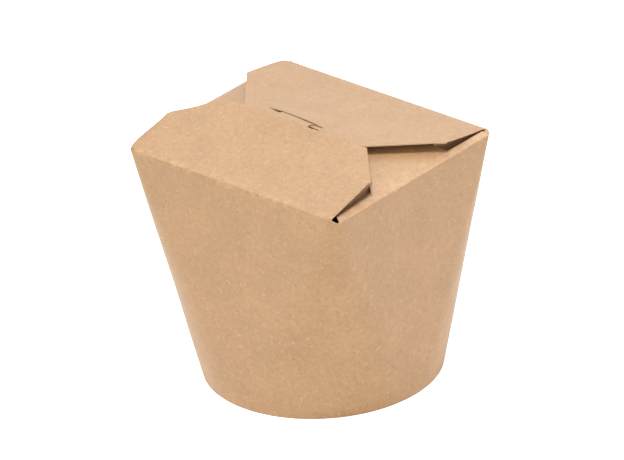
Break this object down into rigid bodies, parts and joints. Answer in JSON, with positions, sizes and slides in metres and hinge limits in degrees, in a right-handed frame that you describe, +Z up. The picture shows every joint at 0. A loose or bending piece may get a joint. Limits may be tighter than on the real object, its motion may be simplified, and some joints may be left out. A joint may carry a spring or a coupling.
{
  "type": "noodle takeaway carton",
  "caption": "Shut brown kraft board noodle carton: round base, rectangular top, overlapping lid flaps locked by a tongue in a slit.",
  "frame": {"origin": "centre of the round base at the height of the table it stands on", "axes": "+Z up, X along the folds of the two main flaps, the upper (front) main flap on the -Y side and the slit flap on the +Y side"},
  "size_m": [0.103, 0.0908, 0.1025],
  "materials": {
    "kraft_board": "plain uncoated brown kraft board, matt, finely mottled with short light and dark fibres",
    "kraft_base": "the same plain brown kraft board, matt, pressed in as a flat disc"
  },
  "bodies": {
    "root": {"carton": "kraft_board", "base_disc": "kraft_base"}
  },
  "joints": []
}
